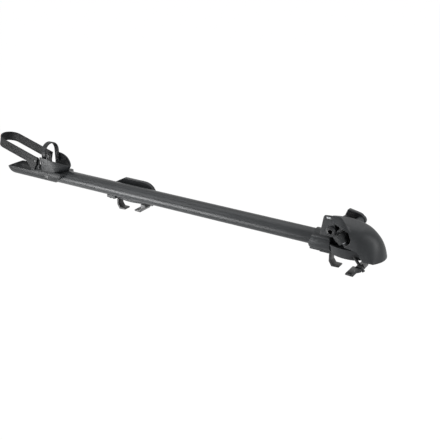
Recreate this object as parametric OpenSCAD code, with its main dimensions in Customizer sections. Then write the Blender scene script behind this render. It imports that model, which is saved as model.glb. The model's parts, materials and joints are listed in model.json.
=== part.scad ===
// Roof mounted bike carrier: one long tube that two clamps hold on a car's crossbars,
// a head that takes the bicycle's fork by its axle, and a sliding tray for the rear wheel.
// Millimetres. The origin is the middle of the front crossbar seat, X runs along the tube
// towards the head, and Z is up.

/* [Main tube] */
// Outside diameter of the main tube
tube_d = 44; // [40:0.5:48]
// Wall of the main tube
tube_wall = 2.5; // [1.5:0.1:4]
// Length of the main tube
tube_len = 1010; // [960:5:1030]
// Height of the tube's axis over the crossbar seats
tube_h = 32; // [31:0.5:36]
// Width of the slot under the tube that the rear clamp slides in
slot_w = 10; // [9.5:0.1:12]

/* [Crossbars] */
// Width of the crossbar that the clamps are set for
bar_w = 70; // [64:1:76]
// Height of that crossbar
bar_h = 30; // [22:1:36]
// Distance between the two crossbars
bar_spread = 718; // [690:1:740]

/* [Clamps] */
// Lean of the clamp bolts from the vertical
clamp_tilt = 40; // [36:1:42]
// Diameter of the clamp bolts
bolt_d = 8; // [6:0.5:8]
// Rise of the thread for one turn of a knob
bolt_pitch = 1.25; // [1:0.05:1.5]
// Radius of a clamp knob over its ribs
knob_r = 18; // [15:0.5:18.5]
// Height of the ribbed upper tier of a knob
knob_top_h = 15; // [11:0.5:16]
// Height of the plain lower tier of a knob
knob_base_h = 11; // [8:0.5:12]
// Number of grip grooves round a knob
knob_grooves = 22; // [16:1:26]
// Distance of the front knob's top from the seat plane, along its bolt
front_knob_s = 87; // [84:1:92]
// Distance of the rear knob's top from the seat plane, along its bolt
rear_knob_s = 52; // [50:1:56]
// Place of the front clamp bolt across the carrier
front_bolt_y = -25; // [-27:0.5:-24]
// Place of the rear clamp bolt across the carrier
rear_bolt_y = 54; // [54:0.5:60]
// Thickness of a claw
claw_t = 5; // [4:0.5:7]
// Reach of a claw under the crossbar
claw_reach = 24; // [16:1:30]
// Room between a claw and the crossbar
claw_room = 4; // [3:0.5:6]
// Room between a claw's hook and the crossbar's underside
claw_lift = 1; // [0.5:0.5:3]
// Travel of the moving claws
claw_travel = 10; // [6:1:12]
// Thickness of the front rubber pad
front_pad_t = 3; // [2:0.5:4]
// Height of the front saddle's floor over the seat
saddle_top = 18; // [15:0.5:19]
// Half width of the front saddle at its foot
saddle_half_w = 27.5; // [26:0.5:30]
// How much wider the saddle's near rim flares than its foot
saddle_flare = 12; // [10:0.5:14]
// Height of the top of the saddle's near rim
saddle_rim = 33; // [28:0.5:34]

/* [Fork axle] */
// Distance between the fork's dropout seats
fork_w = 100; // [96:1:110]
// Bore for the fork's through axle
axle_bore_d = 12.2; // [9.2:0.1:13]
// Outside diameter of the axle sleeve
sleeve_d = 18; // [17:0.5:20]
// Place of the axle along the carrier
axle_x = -28; // [-30:0.5:-27]
// Height of the axle over the crossbar seats
axle_z = 77; // [76:0.5:79]
// Radius of the near dropout seat
near_seat_r = 13; // [11:0.5:14]

/* [Head cover] */
// Width of the head cover
cover_w = 88; // [86:1:94]
// Wall of the head cover
cover_wall = 3; // [2:0.1:3.5]
// How far the nose reaches past the crossbar
nose_reach = 69; // [66:1:78]
// Height of the cover's crest over the seats
crest_z = 95; // [94:0.5:98]
// Fall of the cover's crest from its highest place to the nose
crest_fall = 6.5; // [4:0.5:8]
// How far the sides of the nose fall back
nose_round = 16; // [12:0.5:20]
// Height of the nose's lower rim
rim_z = 13; // [11:0.5:15]
// Height of the cover's lower edge beside the knob
skirt_z = 41; // [40:0.5:43]
// Rise of the near ear over the cover's shoulder
ear_lift = 49; // [42:1:52]

/* [Lock lever] */
// Place of the lever's shaft along the carrier
lever_x = 8; // [7:0.5:10]
// Diameter of the lever's shaft
lever_shaft_d = 10; // [8:0.5:11]
// Length of the lever from its shaft to the grip's end
lever_len = 45; // [40:1:50]
// Height of the lever's grip
grip_h = 20; // [19:0.5:25]
// Rise of the grip's free end over its root
lever_rise = 5; // [3:0.5:7]
// Width of the lever
lever_w = 11; // [11:0.5:18]
// Swing of the lever from locked to open
lever_swing = 110; // [90:1:115]
// Throw of the crank that works the lock plunger
crank_e = 4; // [3:0.25:4]
// Diameter of the lock plunger
plunger_d = 8; // [6:0.5:8.5]

/* [Wheel tray] */
// Distance of the tray's hoop pivot from the tube's rear end
tray_inset = 36; // [32:1:40]
// Radius of the tray's trough
trough_r = 32; // [31:0.5:35]
// Height of the trough's rim over the crossbar seats
trough_z = 40; // [39:0.5:41]
// Wall of the tray
tray_wall = 3; // [2:0.1:4]
// Length of the tray's tail behind the hoop pivot
tail_len = 181; // [165:1:215]
// Length of the cradle in front of the hoop pivot
bow_len = 83; // [70:1:95]
// Half width of the cradle at its top
cradle_half_w = 40; // [39.5:0.5:44]
// Height of the cradle's top over the crossbar seats
cradle_top = 95; // [92:0.5:98]
// Width of the wheel strap
strap_w = 30; // [24:1:34]
// Thickness of the wheel strap
strap_t = 4; // [3:0.25:5]
// Length of the strap loop from its pins to its end
strap_len = 175; // [150:1:190]
// Half width of the strap loop
strap_half_w = 36.5; // [36:0.5:40]
// Upward lean of the strap at rest
strap_lean = 15; // [11:1:22]
// Width of the hoop's band
hoop_w = 16; // [12:0.5:20]
// Thickness of the hoop's band
hoop_t = 3.5; // [2.5:0.25:4]
// Height of the hoop over its pivot
hoop_h = 60; // [55:1:70]

/* [Clearances] */
// Radial clearance of shafts and screws in their bores
fit = 0.05; // [0.03:0.01:0.08]
// Clearance between pieces that move past each other
gap = 0.4; // [0.3:0.05:0.6]

/* [Hidden] */
$fn = 64;
over = 1;

// Finishes
dark_alloy = "#4a4c4e";
black_plastic = "#2b2d2f";
grey_plastic = "#3a3c3e";
rubber = "#1c1d1e";
steel = "#8d9092";
black_steel = "#242526";
pale_mark = "#c3c6c8";

// Tube and socket
tube_r = tube_d / 2;
socket_wall = 6;
socket_len = 60;
socket_drop = 2;
socket_front = -bar_w / 2 - 3;
socket_back = socket_front - socket_len;
tube_stop = 4;
tube_front = socket_front - tube_stop;
tube_back = tube_front - tube_len;
socket_r = tube_r + socket_wall;
socket_z = tube_h - socket_drop;
foot_z = socket_z - socket_r;
foot_half_w = 16;
ridge_z = socket_z + 15;
ridge_h = 3;
socket_rake = 10;
socket_screw_places = [socket_back + 8, socket_back + 22];

// Clamp bolts
bolt_r = bolt_d / 2;
bolt_x = bar_w / 2 + bolt_r + 2;
bolt_end_s = -28;
lug_r = 8;
washer_t = 1.5;
washer_r = 7.5;
knob_h = knob_top_h + knob_base_h;
knob_head_h = 5;
knob_head_r = 7;
front_lug_s = 30;
front_lug_top = front_knob_s - knob_h - washer_t - gap;
rear_lug_s = 16;
front_knob_x = bolt_x - front_knob_s * sin(clamp_tilt);
front_knob_z = front_knob_s * cos(clamp_tilt);

// Claws
claw_x = bar_w / 2 + claw_room;
claw_z = -bar_h - claw_lift;
claw_boss_r = 9;
claw_boss_h = 14;
claw_top = -9;
claw_side_in = 35;
claw_side_out = 15;
fixed_claw_half_w = 12;
rear_fixed_claw_y = 22;
fixed_claw_plate = 32;
screw_r = 2.5;
screw_head_r = 5;
screw_head_h = 3;
claw_screw_x = [-claw_x - claw_t - screw_head_r - 2, -claw_x - claw_t - 3 * screw_head_r - 4];

// Head base
spine_y0 = -4;
spine_y1 = 34;
spine_top = 60;
spine_front = bar_w / 2 - 2;
flange_t = 6;
flange_half_w = 18;
flange_x0 = socket_front + 5;
flange_x1 = bar_w / 2 - 6;
tower_x0 = axle_x - 14;
tower_x1 = axle_x + 20;
tower_y1 = 20;
tower_top = crest_z - cover_wall - 4;
lever_boss_r = lever_shaft_d / 2 + 6;
lever_tower_x0 = lever_x - 10;
lever_tower_x1 = lever_x + 22;
lever_tower_z0 = 40;
lever_tower_y1 = cover_w / 2 - 9;
screw_block_y1 = cover_w / 2 - cover_wall - 1;
screw_block_top = 54.5;
saddle_mid = 5;
saddle_front = bar_w / 2 + 11;
saddle_bulge = 50;
saddle_wall = 4;
saddle_screw_x = -bar_w / 4;
saddle_screw_y = 14;

// Cover
cover_half = cover_w / 2;
cover_back = axle_x - 30;
nose_tip = bar_w / 2 + nose_reach;
nose_start = bar_w / 2 + 5;
crest_x = -12;
top_steps = 7;
nose_steps = 10;
half_stations = [0.2, 0.4, 0.56, 0.7, 0.83, 0.93, 1];
cover_stations = concat([for (i = [len(half_stations) - 1:-1:0]) -half_stations[i]], [0], half_stations);
leg_x = bar_w / 2 + 16;
ear_bottom = axle_z - near_seat_r - 2;
ear_lean = 6;
ear_corner = 9;
ear_back = axle_x - 30;
ear_front = axle_x + 20;
ear_fall = 36;
ear_foot = 0.2;
ear_span = 0.45;
ear_draw = 0.03;
ear_top = crest_z + 22;
recess_r = 20;
recess_x = front_knob_x + 19;
recess_z = front_knob_z - 3;
recess_top = axle_z + near_seat_r + 8;
skirt_back = recess_x + 5;
cover_screw_places = [[lever_x + 2, lever_tower_z0 + 8], [lever_x + 14, lever_tower_z0 + 8]];
far_seat_t = 4;
far_seat_r = sleeve_d / 2 + 2;
mark_l = 11;
mark_h = 4.5;
mark_t = 0.8;
mark_x = ear_back + 15;
mark_z = ear_top - 9;
mark_y = -cover_half + 2.2;

// Lock
lever_boss_end = fork_w / 2 + 10 - gap;
lever_y0 = lever_boss_end + gap;
lever_y1 = lever_y0 + lever_w;
lever_hub_r = lever_boss_r + 2;
lever_root = lever_hub_r + 1;
lever_bow_back = 10;
grip_pocket = 2;
grip_rim = 3;
plunger_y = 8;
plunger_r = plunger_d / 2;
crank_start = (180 - lever_swing) / 2;
crank_pin_r = 2.5;
crank_web_r = crank_e + crank_pin_r + 2.5;
crank_web_t = 3;
yoke_w = 8;
yoke_room = 0.5;
yoke_wall = 3;
yoke_half_x = crank_pin_r + yoke_room + yoke_wall;
crank_pin_x = lever_x - crank_e * cos(crank_start);
crank_pin_z = axle_z + crank_e * sin(crank_start);
plunger_tip = axle_x + axle_bore_d / 2 + 0.5;

// Rear clamp
rear_x = -bar_spread;
rear_plate_x0 = -bar_w / 2 - 37;
rear_plate_reach = 43;
rear_plate_x1 = bar_w / 2 + rear_plate_reach;
rear_lens_x = 18;
rear_lens_r = 150;
rear_lens_near = 4;
rear_screw_half_w = 7;
rear_pad_far = 24;
rear_cover_nose = 55;
rear_cover_lead = 42;
rear_cover_bow = 22;
rear_cover_y0 = tube_r + gap + 0.5;
rear_cover_y1 = rear_cover_y0 + 12;
rear_cover_top = tube_h + 30;
rear_cover_low = foot_z + 9;
rear_upright_y0 = rear_cover_y0 + cover_wall + gap;
rear_upright_y1 = rear_upright_y0 + 5;
rear_upright_top = tube_h + 4;
rear_cover_screw_x = [-10, bar_w / 2 + 10];
rear_cover_screw_z = tube_h - 6;
rear_knob_x = bolt_x - rear_knob_s * sin(clamp_tilt);
rear_lug_top = rear_knob_s - knob_h - washer_t - gap;
slide_x = -bar_w / 2 - 17.5;
slide_screw_x = [slide_x - 6.5, slide_x + 6.5];
slide_nut_half_l = 24;
slide_nut_half_w = 8;
slide_nut_h = 8;
tube_in_r = tube_r - tube_wall;
slide_nut_z = tube_h - sqrt(tube_in_r * tube_in_r - slide_nut_half_w * slide_nut_half_w) + gap;
rear_travel_back = 35;
rear_travel_front = 150;
slot_x0 = rear_x + slide_x - slide_nut_half_l - rear_travel_back - 10;
slot_x1 = rear_x + slide_x + slide_nut_half_l + rear_travel_front + 10;

// Wheel tray
tray_x = tube_back + tray_inset;
tail_tip = tray_x - tail_len;
tail_scoop = 22;
tail_dip = 9;
cradle_low = trough_z + 10;
cradle_floor = tube_h + tube_r + gap + tray_wall;
mouth_top_x = tray_x + bow_len - 3;
mouth_low_x = tray_x + 23;
mouth_round = 36;
body_back = tray_x - 60;
cradle_back = tray_x - 11;
cradle_foot_w = 31;
bow_x = tray_x + bow_len;
bow_r = 105;
bow_drop = 24;
tray_pin_z = 77;
strap_pin_x = tray_x - 34;
strap_pin_z = tray_pin_z + 1;
pin_r = 3;
pin_head_r = 5;
pin_head_t = 2;
cheek_t = 5;
cheek_half_l = 10;
cheek_out = strap_half_w - strap_t - 3;
fin_len = 58;
fin_drop = 20;
hoop_half_w = cradle_half_w - 9;
lock_screw_r = 7.5;
lock_slot_w = 2.5;
lock_slot_d = 3;
lock_screw_x = tray_x + 3;
cradle_screw_x = [tray_x - 4, tray_x + 30];
cradle_screw_y = 24.5;
strap_nose = 7;

// A straight round bar along X, from x0 to x1
module rod_x(x0, x1, r) {
  translate([x0, 0, 0]) rotate([0, 90, 0]) cylinder(h = x1 - x0, r = r);
}

// A straight round bar along Y, from y0 to y1
module rod_y(y0, y1, r) {
  translate([0, y0, 0]) rotate([-90, 0, 0]) cylinder(h = y1 - y0, r = r);
}

// An upright outline in X and Z, as a plate from y0 to y1
module plate_y(y0, y1) {
  translate([0, y1, 0]) rotate([90, 0, 0]) linear_extrude(y1 - y0) children();
}

// An upright outline in Y and Z, as a bar from x0 to x1
module plate_x(x0, x1) {
  translate([x0, 0, 0]) rotate([90, 0, 90]) linear_extrude(x1 - x0) children();
}

// A block given by its lowest and highest corners
module block(low, high) {
  translate(low) cube(high - low);
}

// The frame of a clamp bolt: its local Z runs up the bolt from the seat plane
module bolt_frame(y) {
  translate([bolt_x, y, 0]) rotate([0, -clamp_tilt, 0]) children();
}

// A shell between two sets of rows of points; each row runs from one rim over the top to the other rim
module shell(outer, inner) {
  n = len(outer);
  m = len(outer[0]);
  inside = n * m;
  last = (n - 1) * m;
  skin = [for (i = [0:n - 2], j = [0:m - 2]) each [
    [i * m + j, i * m + j + 1, (i + 1) * m + j + 1],
    [i * m + j, (i + 1) * m + j + 1, (i + 1) * m + j]
  ]];
  lining = [for (f = skin) [f[2] + inside, f[1] + inside, f[0] + inside]];
  edge = concat(
    [for (i = [0:n - 1]) i * m],
    [for (j = [1:m - 1]) last + j],
    [for (i = [n - 2:-1:0]) i * m + m - 1],
    [for (j = [m - 2:-1:1]) j]
  );
  rim = [for (k = [0:len(edge) - 1]) let (e = edge[k], f = edge[(k + 1) % len(edge)]) each [
    [e, f, f + inside],
    [e, f + inside, e + inside]
  ]];
  corners = concat([for (r = outer) each r], [for (r = inner) each r]);
  polyhedron(points = corners, faces = concat(skin, lining, rim));
}

// A point at t along a smooth curve with the end points a and d
function curve(a, b, c, d, t) =
  pow(1 - t, 3) * a + 3 * t * pow(1 - t, 2) * b + 3 * t * t * (1 - t) * c + pow(t, 3) * d;

// A soft step from 0 to 1 while u goes from 0 to 1
function smooth(u) = let (c = min(1, max(0, u))) c * c * (3 - 2 * c);

// Points of an arc from angle a0 to a1
function arc(x, z, r, a0, a1, n) =
  [for (i = [0:n]) let (a = a0 + (a1 - a0) * i / n) [x + r * cos(a), z + r * sin(a)]];

// Main tube

module main_tube() {
  color(dark_alloy) difference() {
    translate([0, 0, tube_h]) difference() {
      rod_x(tube_back, tube_front, tube_r);
      rod_x(tube_back - over, tube_front + over, tube_in_r);
    }
    block([slot_x0, -slot_w / 2, 0], [slot_x1, slot_w / 2, tube_h - tube_in_r + tube_wall]);
    for (x = socket_screw_places) translate([x, 0, 0]) cylinder(h = tube_h, r = screw_r + fit);
  }
}

module tube_end_plug() {
  color(black_plastic) translate([0, 0, tube_h]) {
    rod_x(tube_back, tube_back + 16, tube_in_r - fit);
    rod_x(tube_back - 2.5, tube_back, tube_r - 0.5);
  }
}

// Head

module socket_screws() {
  color(steel) for (x = socket_screw_places) translate([x, 0, foot_z]) {
    cylinder(h = screw_head_h, r = screw_head_r);
    cylinder(h = tube_h - tube_in_r - foot_z, r = screw_r);
  }
}

module head_base() {
  color(grey_plastic) difference() {
    union() {
      translate([0, 0, socket_z]) rod_x(socket_back, socket_front, socket_r);
      block([socket_back, -foot_half_w, foot_z], [socket_front, foot_half_w, socket_z]);
      block([socket_back + 4, -socket_r - 2, ridge_z], [socket_front, socket_r + 2, ridge_z + ridge_h]);
      block([socket_front - over, spine_y0, saddle_top], [spine_front, spine_y1, spine_top]);
      block([flange_x0, -flange_half_w, saddle_top], [flange_x1, spine_y1, saddle_top + flange_t]);
      block([tower_x0, spine_y0, spine_top - over], [tower_x1, tower_y1, tower_top]);
      block([lever_tower_x0, tower_y1, lever_tower_z0], [lever_tower_x1, lever_tower_y1, axle_z - 5]);
      block([lever_tower_x0, tower_y1, lever_tower_z0], [lever_tower_x1, screw_block_y1, screw_block_top]);
      translate([lever_x, 0, axle_z]) rod_y(tower_y1, lever_boss_end, lever_boss_r);
      bolt_frame(front_bolt_y) {
        translate([0, 0, front_lug_s]) cylinder(h = front_lug_top - front_lug_s, r = lug_r);
        block([-8, 0, front_lug_s + 2], [8, spine_y0 - front_bolt_y + over, front_knob_s - knob_h - 8]);
      }
    }
    translate([0, 0, tube_h]) rod_x(socket_back - over, tube_front, tube_r + fit);
    plate_y(-2 * socket_r, 2 * socket_r) polygon([
      [socket_back - over, tube_h - 12],
      [socket_back + socket_rake, ridge_z],
      [socket_back + socket_rake, 3 * tube_h],
      [socket_back - over, 3 * tube_h]
    ]);
    translate([axle_x, 0, axle_z]) rod_y(spine_y0 - over, tower_y1 + over, sleeve_d / 2 + fit);
    translate([lever_x, 0, axle_z]) rod_y(tower_y1 - over, lever_boss_end + over, lever_shaft_d / 2 + fit);
    translate([0, plunger_y, axle_z]) rod_x(axle_x, tower_x1 + over, plunger_r + fit);
    bolt_frame(front_bolt_y) translate([0, 0, 0]) cylinder(h = front_knob_s, r = bolt_r + gap);
    for (x = socket_screw_places) translate([x, 0, foot_z - over]) {
      cylinder(h = over + screw_head_h + fit, r = screw_head_r + fit);
      cylinder(h = tube_h, r = screw_r + fit);
    }
    for (x = claw_screw_x) translate([x, 0, foot_z - over]) cylinder(h = 9, r = screw_r + fit);
    for (y = [-1, 1]) translate([saddle_screw_x, y * saddle_screw_y, saddle_top - over])
      cylinder(h = over + flange_t - 1, r = screw_r + fit);
    for (p = cover_screw_places) translate([p[0], 0, p[1]])
      rod_y(cover_half - cover_wall - 11, cover_half, screw_r + fit);
  }
}

// Height of the cover's crest at a place along the carrier
function crest(x) = crest_z - crest_fall * pow((x - crest_x) / (nose_start - crest_x), 2);

// Rows of the cover's skin: the crest's place and height, and the place of the rim beside it
function cover_rows(inset) =
  let (
    lead = [nose_start, crest(nose_start) - inset],
    lead_pull = lead + [30 - inset / 2, -2.5],
    tip_pull = [nose_tip - 6 - inset, rim_z + 53 - inset / 2],
    tip = [nose_tip - inset, rim_z],
    side_tip = nose_tip - nose_round - inset
  )
  concat(
    [for (i = [0:top_steps - 1]) let (
        x = cover_back + (nose_start - cover_back) * i / top_steps
      ) [x, crest(x) - inset, x]],
    [for (i = [0:nose_steps]) let (
        t = i / nose_steps,
        p = curve(lead, lead_pull, tip_pull, tip, t)
      ) [p[0], p[1], nose_start + (side_tip - nose_start) * t]]
  );

// Squareness of the cover's cross-section: boxy beside the axle and round at the nose
function cover_square(x) = 5 - 2.8 * smooth((x - 10) / (nose_tip - 30));

// One point of a row, at v from -1 at the near rim to 1 at the far rim
function cover_point(row, v, inset) =
  let (
    power = 2 / cover_square(row[0]),
    out = pow(sin(90 * abs(v)), power),
    up = pow(cos(90 * abs(v)), power),
    rise = smooth((abs(v) - ear_foot - ear_draw * inset) / ear_span),
    ear = v < 0 ? ear_lift * rise * (1 - smooth((row[0] - ear_front) / ear_fall)) : 0
  )
  [
    row[2] + (row[0] - row[2]) * (1 - out * out),
    sign(v) * (cover_half - inset) * out,
    rim_z + (row[1] + ear - rim_z) * up
  ];

// The cover's skin, drawn in by inset
function cover_skin(inset) = [for (row = cover_rows(inset))
  [for (v = cover_stations) cover_point(row, v, inset)]];

// What the cover's sides leave open for the socket, the base and the crossbar, and the rake of its back edge
module skirt_outline() {
  polygon(concat(
    [[cover_back - 20, 0]],
    [[leg_x + 9, 0]],
    [[leg_x + 9, rim_z + 1]],
    [[leg_x + 1, rim_z + 9]],
    [[leg_x - 6, skirt_z - 6]],
    [[skirt_back, skirt_z]],
    [[skirt_back, ear_bottom]],
    [[ear_back, ear_bottom]],
    arc(ear_back + ear_lean + ear_corner, ear_top - ear_corner, ear_corner, 170, 90, 8),
    [[ear_back + ear_lean + ear_corner, 2 * crest_z]],
    [[cover_back - 20, 2 * crest_z]]
  ));
}

// The scooped opening in the near side that the front knob is turned through
module recess_outline() {
  translate([recess_x, recess_z]) circle(recess_r);
  polygon([
    [axle_x + near_seat_r - 6, recess_top],
    [recess_x + recess_r - 8, recess_z + recess_r - 2],
    [recess_x + recess_r - 1, recess_z],
    [recess_x + 4, skirt_z - over],
    [axle_x + near_seat_r - 2, skirt_z - over],
    [axle_x + near_seat_r - 2, axle_z]
  ]);
}

module head_cover() {
  color(grey_plastic) difference() {
    difference() {
      shell(cover_skin(0), cover_skin(cover_wall));
      plate_y(-cover_w, cover_w) skirt_outline();
    }
    plate_y(-cover_w, -cover_half + 2 * cover_wall) recess_outline();
    bolt_frame(front_bolt_y) translate([0, 0, front_knob_s - knob_h - 2 * gap])
      cylinder(h = knob_h + 6 * gap, r = knob_r + 2 * gap);
    translate([axle_x, 0, axle_z]) {
      rod_y(-cover_w, 0, near_seat_r + fit);
      rod_y(0, cover_w, sleeve_d / 2 + gap);
      rod_y(fork_w / 2 - far_seat_t - gap, cover_w, far_seat_r + gap);
    }
    translate([lever_x, 0, axle_z]) rod_y(0, cover_w, lever_boss_r + gap);
    for (p = cover_screw_places) translate([p[0], 0, p[1]]) rod_y(0, cover_w, screw_r + fit);
    block([mark_x - fit, -cover_w, mark_z - fit],
          [mark_x + mark_l + fit, mark_y + mark_t, mark_z + mark_h + fit]);
  }
}

module indicator_mark() {
  color(pale_mark)
    block([mark_x, mark_y - 0.2, mark_z], [mark_x + mark_l, mark_y + mark_t, mark_z + mark_h]);
}

module cover_screws() {
  color(steel) for (p = cover_screw_places) translate([p[0], 0, p[1]]) {
    rod_y(cover_half - cover_wall - 10, cover_half, screw_r);
    rod_y(cover_half, cover_half + screw_head_h, screw_head_r);
  }
}

module axle_sleeve() {
  color(black_steel) translate([axle_x, 0, axle_z]) difference() {
    rod_y(-fork_w / 2, fork_w / 2, sleeve_d / 2);
    rod_y(-fork_w, fork_w, axle_bore_d / 2);
    translate([0, plunger_y, 0]) rod_x(0, sleeve_d, plunger_r + gap);
  }
}

module near_dropout_seat() {
  color(black_steel) translate([axle_x, 0, axle_z]) difference() {
    union() {
      rod_y(-fork_w / 2 + 2, -cover_half + cover_wall + 1, near_seat_r);
      rod_y(-fork_w / 2, -fork_w / 2 + 2, near_seat_r - 2);
    }
    rod_y(-fork_w, 0, sleeve_d / 2 + fit);
  }
}

module far_dropout_seat() {
  color(black_steel) translate([axle_x, 0, axle_z]) difference() {
    rod_y(fork_w / 2 - far_seat_t, fork_w / 2, far_seat_r);
    rod_y(0, fork_w, sleeve_d / 2 + fit);
  }
}

// Fork lock

// Height of the lever's lower edge at a distance from its shaft
function lever_low(d) = axle_z - 1 + lever_rise * (d - lever_root) / (lever_len - lever_root);

module lever_outline() {
  grip_end = lever_x - lever_len;
  polygon(concat(
    [[grip_end, lever_low(lever_len)]],
    arc(grip_end + 11, lever_low(lever_len) + grip_h - 5, 5, 165, 98, 6),
    arc(lever_x - lever_bow_back, axle_z - 1, grip_h, 78, -10, 16),
    [[lever_x + 2, axle_z - 4], [lever_x - lever_hub_r + 3, axle_z - 4]],
    [[lever_x - lever_root, lever_low(lever_root)]]
  ));
}

// The grip fills a pocket in the lever's free end, a rim inside its outline
module grip_outline() {
  d0 = lever_root + grip_rim;
  d1 = lever_len - 2 * grip_rim - 2;
  high = grip_h - grip_rim - 2;
  polygon([
    [lever_x - d1, lever_low(d1) + grip_rim],
    [lever_x - d1 + 2, lever_low(d1) + high],
    [lever_x - d0, lever_low(d0) + high],
    [lever_x - d0, lever_low(d0) + grip_rim]
  ]);
}

module lock_lever() {
  color(black_plastic) difference() {
    union() {
      plate_y(lever_y0, lever_y1) lever_outline();
      translate([lever_x, 0, axle_z]) rod_y(lever_y0, lever_y1, lever_hub_r);
    }
    translate([lever_x, 0, axle_z]) rod_y(0, lever_y1 + over, lever_shaft_d / 2 + fit);
    plate_y(lever_y0 - over, lever_y0 + grip_pocket) grip_outline();
    plate_y(lever_y1 - grip_pocket, lever_y1 + over) grip_outline();
  }
}

module lever_grip() {
  color(rubber) for (y = [lever_y0, lever_y1 - grip_pocket])
    plate_y(y, y + grip_pocket) grip_outline();
}

module lever_shaft() {
  color(steel) difference() {
    union() {
      translate([lever_x, 0, axle_z]) {
        rod_y(tower_y1 - gap, lever_y1, lever_shaft_d / 2);
        rod_y(tower_y1 - gap - crank_web_t, tower_y1 - gap, crank_web_r);
      }
      translate([crank_pin_x, 0, crank_pin_z])
        rod_y(plunger_y - yoke_w / 2, tower_y1 - gap - crank_web_t, crank_pin_r);
    }
    translate([lever_x, 0, axle_z]) rod_y(lever_y1 - 9, lever_y1 + over, screw_r + fit);
  }
}

module lever_screw() {
  color(steel) translate([lever_x, 0, axle_z]) {
    rod_y(lever_y1 - 8, lever_y1, screw_r);
    rod_y(lever_y1, lever_y1 + screw_head_h, lever_shaft_d / 2 + 2);
  }
}

module lock_plunger() {
  slot_low = axle_z - crank_pin_r - 1;
  slot_high = axle_z + crank_e + crank_pin_r + 1;
  color(black_steel) difference() {
    union() {
      translate([0, plunger_y, axle_z]) rod_x(plunger_tip, crank_pin_x - yoke_half_x + over, plunger_r);
      block([crank_pin_x - yoke_half_x, plunger_y - yoke_w / 2, slot_low - yoke_wall],
            [crank_pin_x + yoke_half_x, plunger_y + yoke_w / 2, slot_high + yoke_wall]);
    }
    block([crank_pin_x - crank_pin_r - yoke_room, plunger_y - yoke_w, slot_low],
          [crank_pin_x + crank_pin_r + yoke_room, plunger_y + yoke_w, slot_high]);
  }
}

// Clamps

// The lens-shaped plan that the saddle and its pad share
module saddle_plan(shrink) {
  lens_r = saddle_half_w + saddle_bulge - shrink;
  intersection() {
    translate([saddle_mid, saddle_bulge]) circle(lens_r);
    translate([saddle_mid, -saddle_bulge]) circle(lens_r);
  }
}

// The saddle's flared lens, with the wall taken off by inset
module saddle_form(low, inset) {
  foot_r = saddle_half_w + saddle_bulge - inset;
  intersection() {
    block([socket_front - inset, -2 * saddle_half_w, low],
          [saddle_front + inset, 2 * saddle_half_w, saddle_rim + inset]);
    translate([saddle_mid, saddle_bulge, front_pad_t])
      cylinder(h = saddle_rim - front_pad_t + inset, r1 = foot_r, r2 = foot_r + saddle_flare);
    translate([saddle_mid, -saddle_bulge, front_pad_t])
      cylinder(h = saddle_rim - front_pad_t + inset, r1 = foot_r, r2 = foot_r + saddle_flare);
  }
}

module front_saddle() {
  color(grey_plastic) difference() {
    saddle_form(front_pad_t, 0);
    saddle_form(saddle_top, saddle_wall);
    block([socket_front - over, 0, saddle_top], [saddle_front + over, 4 * saddle_half_w, saddle_rim + over]);
    bolt_frame(front_bolt_y) {
      translate([0, 0, -over]) cylinder(h = front_lug_s + lug_r, r = bolt_r + 1);
      translate([0, 0, front_lug_s - gap]) cylinder(h = front_lug_top - front_lug_s, r = lug_r + gap);
    }
    for (y = [-1, 1]) translate([saddle_screw_x, y * saddle_screw_y, 0]) {
      cylinder(h = front_pad_t + screw_head_h + fit, r = screw_head_r + fit);
      cylinder(h = saddle_top + over, r = screw_r + fit);
    }
  }
}

module saddle_screws() {
  color(steel) for (y = [-1, 1]) translate([saddle_screw_x, y * saddle_screw_y, front_pad_t]) {
    cylinder(h = screw_head_h, r = screw_head_r);
    cylinder(h = saddle_top - front_pad_t + flange_t - 2, r = screw_r);
  }
}

module front_pad() {
  color(rubber) linear_extrude(front_pad_t) intersection() {
    saddle_plan(2);
    translate([2 - bar_w / 2, -saddle_half_w]) square([bar_w - 4, 2 * saddle_half_w]);
  }
}

// A hooked plate screwed behind the crossbar
module fixed_claw(top) {
  tip = -bar_w / 2 - claw_room;
  plate_y(-fixed_claw_half_w, fixed_claw_half_w) polygon([
    [tip - fixed_claw_plate, top],
    [tip - fixed_claw_plate, top - claw_t + 1],
    [tip - claw_t, top - claw_t + 1],
    [tip - claw_t, claw_z + 8],
    [tip + 3, claw_z - claw_t],
    [tip + claw_reach, claw_z - claw_t + 1],
    [tip + claw_reach, claw_z],
    [tip + 7, claw_z],
    [tip, claw_z + 10],
    [tip, top]
  ]);
}

module claw_screw_holes(top) {
  for (x = claw_screw_x) translate([x, 0, top - 2 * claw_t]) cylinder(h = 3 * claw_t, r = screw_r + fit);
}

module claw_screw_pair(top) {
  color(steel) for (x = claw_screw_x) translate([x, 0, top - claw_t + 1]) {
    translate([0, 0, -screw_head_h]) cylinder(h = screw_head_h, r = screw_head_r);
    cylinder(h = claw_t - 1 + 6, r = screw_r);
  }
}

module front_fixed_claw() {
  color(black_steel) difference() {
    fixed_claw(foot_z);
    claw_screw_holes(foot_z);
  }
}

module front_claw_screws() {
  claw_screw_pair(foot_z);
}

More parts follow.
